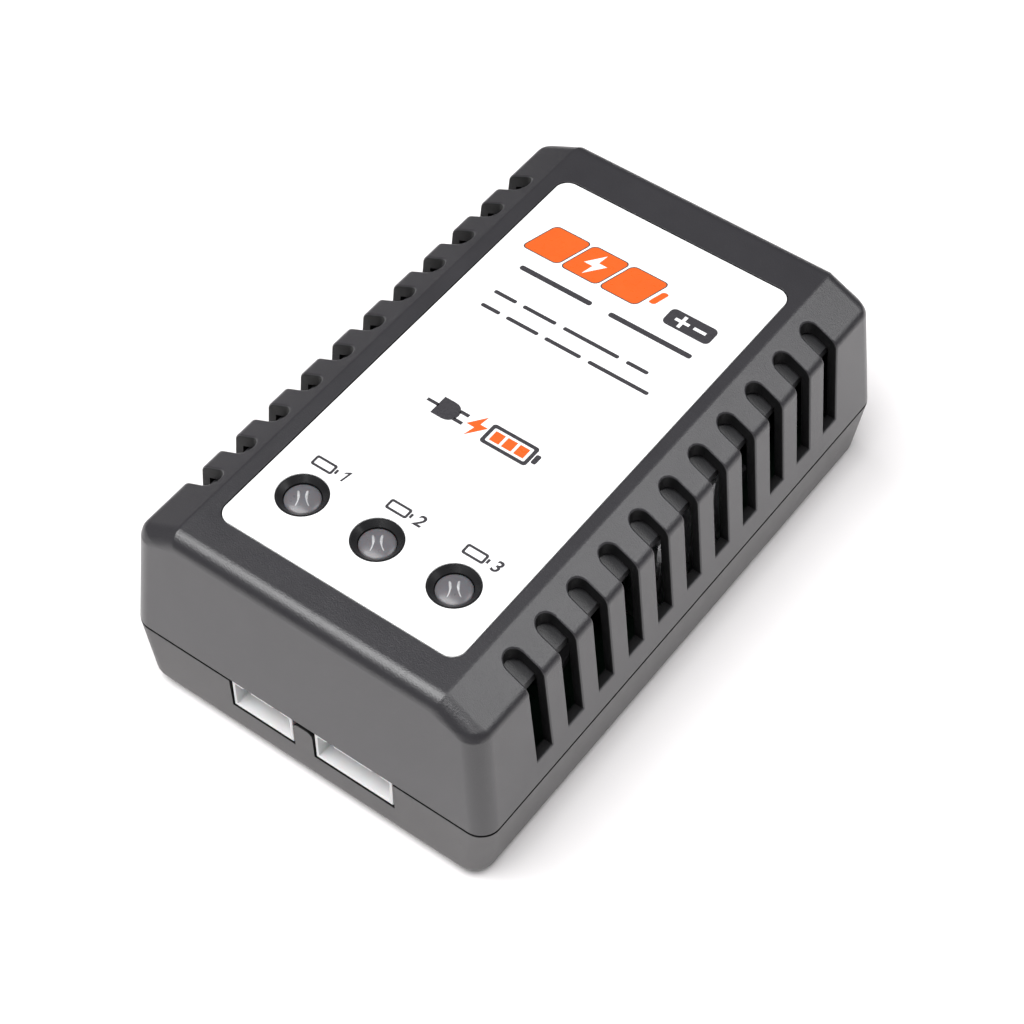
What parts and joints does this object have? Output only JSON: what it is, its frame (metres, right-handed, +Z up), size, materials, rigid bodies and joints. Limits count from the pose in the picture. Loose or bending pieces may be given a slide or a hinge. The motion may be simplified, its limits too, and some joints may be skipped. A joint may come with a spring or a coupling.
{
  "type": "balance battery charger",
  "caption": "Compact mains balance charger: slotted plastic case in halves, labelled top with indicator lights, balance ports in front and a mains inlet behind.",
  "frame": {"origin": "centre of the footprint, on the plane that the case rests on", "axes": "+X to the right seen from the balance ports, +Y from the balance ports in front to the mains inlet behind, +Z up out of the label"},
  "size_m": [0.0574, 0.09, 0.033],
  "materials": {
    "case_plastic": "dark grey moulded ABS, fine-grained and half matte",
    "vent_plastic": "grey moulded ABS, matte",
    "label_film": "white laminated film, glossy",
    "led_epoxy": "milky clear epoxy, glossy",
    "port_nylon": "natural white nylon, satin",
    "black_nylon": "black nylon, satin",
    "tinned_metal": "bright tin plate",
    "steel": "zinc-plated steel",
    "board_laminate": "green solder mask over glass laminate",
    "ferrite": "dark grey ferrite, matte",
    "winding_tape": "yellow polyester tape",
    "capacitor_sleeve": "dark shrink sleeve, glossy",
    "epoxy_yellow": "yellow box casting, satin",
    "epoxy_blue": "blue dipped epoxy, glossy",
    "ic_mould": "black mould compound, matte",
    "aluminium": "plain extruded aluminium"
  },
  "bodies": {
    "root": {"ac_inlet": "black_nylon", "ac_inlet_pin_a": "tinned_metal", "ac_inlet_pin_b": "tinned_metal", "balance_port_2s": "port_nylon", "balance_port_3s": "port_nylon", "bottom_shell": "case_plastic", "bridge_rectifier": "ic_mould", "case_screw_front_left": "steel", "case_screw_front_right": "steel", "case_screw_rear_left": "steel", "case_screw_rear_right": "steel", "charge_ic_1": "ic_mould", "charge_ic_2": "ic_mould", "charge_ic_3": "ic_mould", "filter_capacitor": "epoxy_yellow", "fuse": "ic_mould", "heat_sink": "aluminium", "label": "label_film", "led_1": "led_epoxy", "led_1_lead_a": "tinned_metal", "led_1_lead_b": "tinned_metal", "led_2": "led_epoxy", "led_2_lead_a": "tinned_metal", "led_2_lead_b": "tinned_metal", "led_3": "led_epoxy", "led_3_lead_a": "tinned_metal", "led_3_lead_b": "tinned_metal", "main_board": "board_laminate", "optocoupler": "port_nylon", "output_capacitor_1": "capacitor_sleeve", "output_capacitor_2": "capacitor_sleeve", "output_capacitor_3": "capacitor_sleeve", "output_choke": "ferrite", "output_diode": "ic_mould", "port_2s_pin_1": "tinned_metal", "port_2s_pin_2": "tinned_metal", "port_2s_pin_3": "tinned_metal", "port_3s_pin_1": "tinned_metal", "port_3s_pin_2": "tinned_metal", "port_3s_pin_3": "tinned_metal", "port_3s_pin_4": "tinned_metal", "power_switch": "ic_mould", "reservoir_capacitor": "capacitor_sleeve", "safety_capacitor": "epoxy_blue", "surge_thermistor": "ic_mould", "switching_controller": "ic_mould", "top_shell": "case_plastic", "transformer_base": "ic_mould", "transformer_core": "ferrite", "transformer_winding": "winding_tape", "vent_baffle_left": "vent_plastic", "vent_baffle_right": "vent_plastic"}
  },
  "joints": []
}
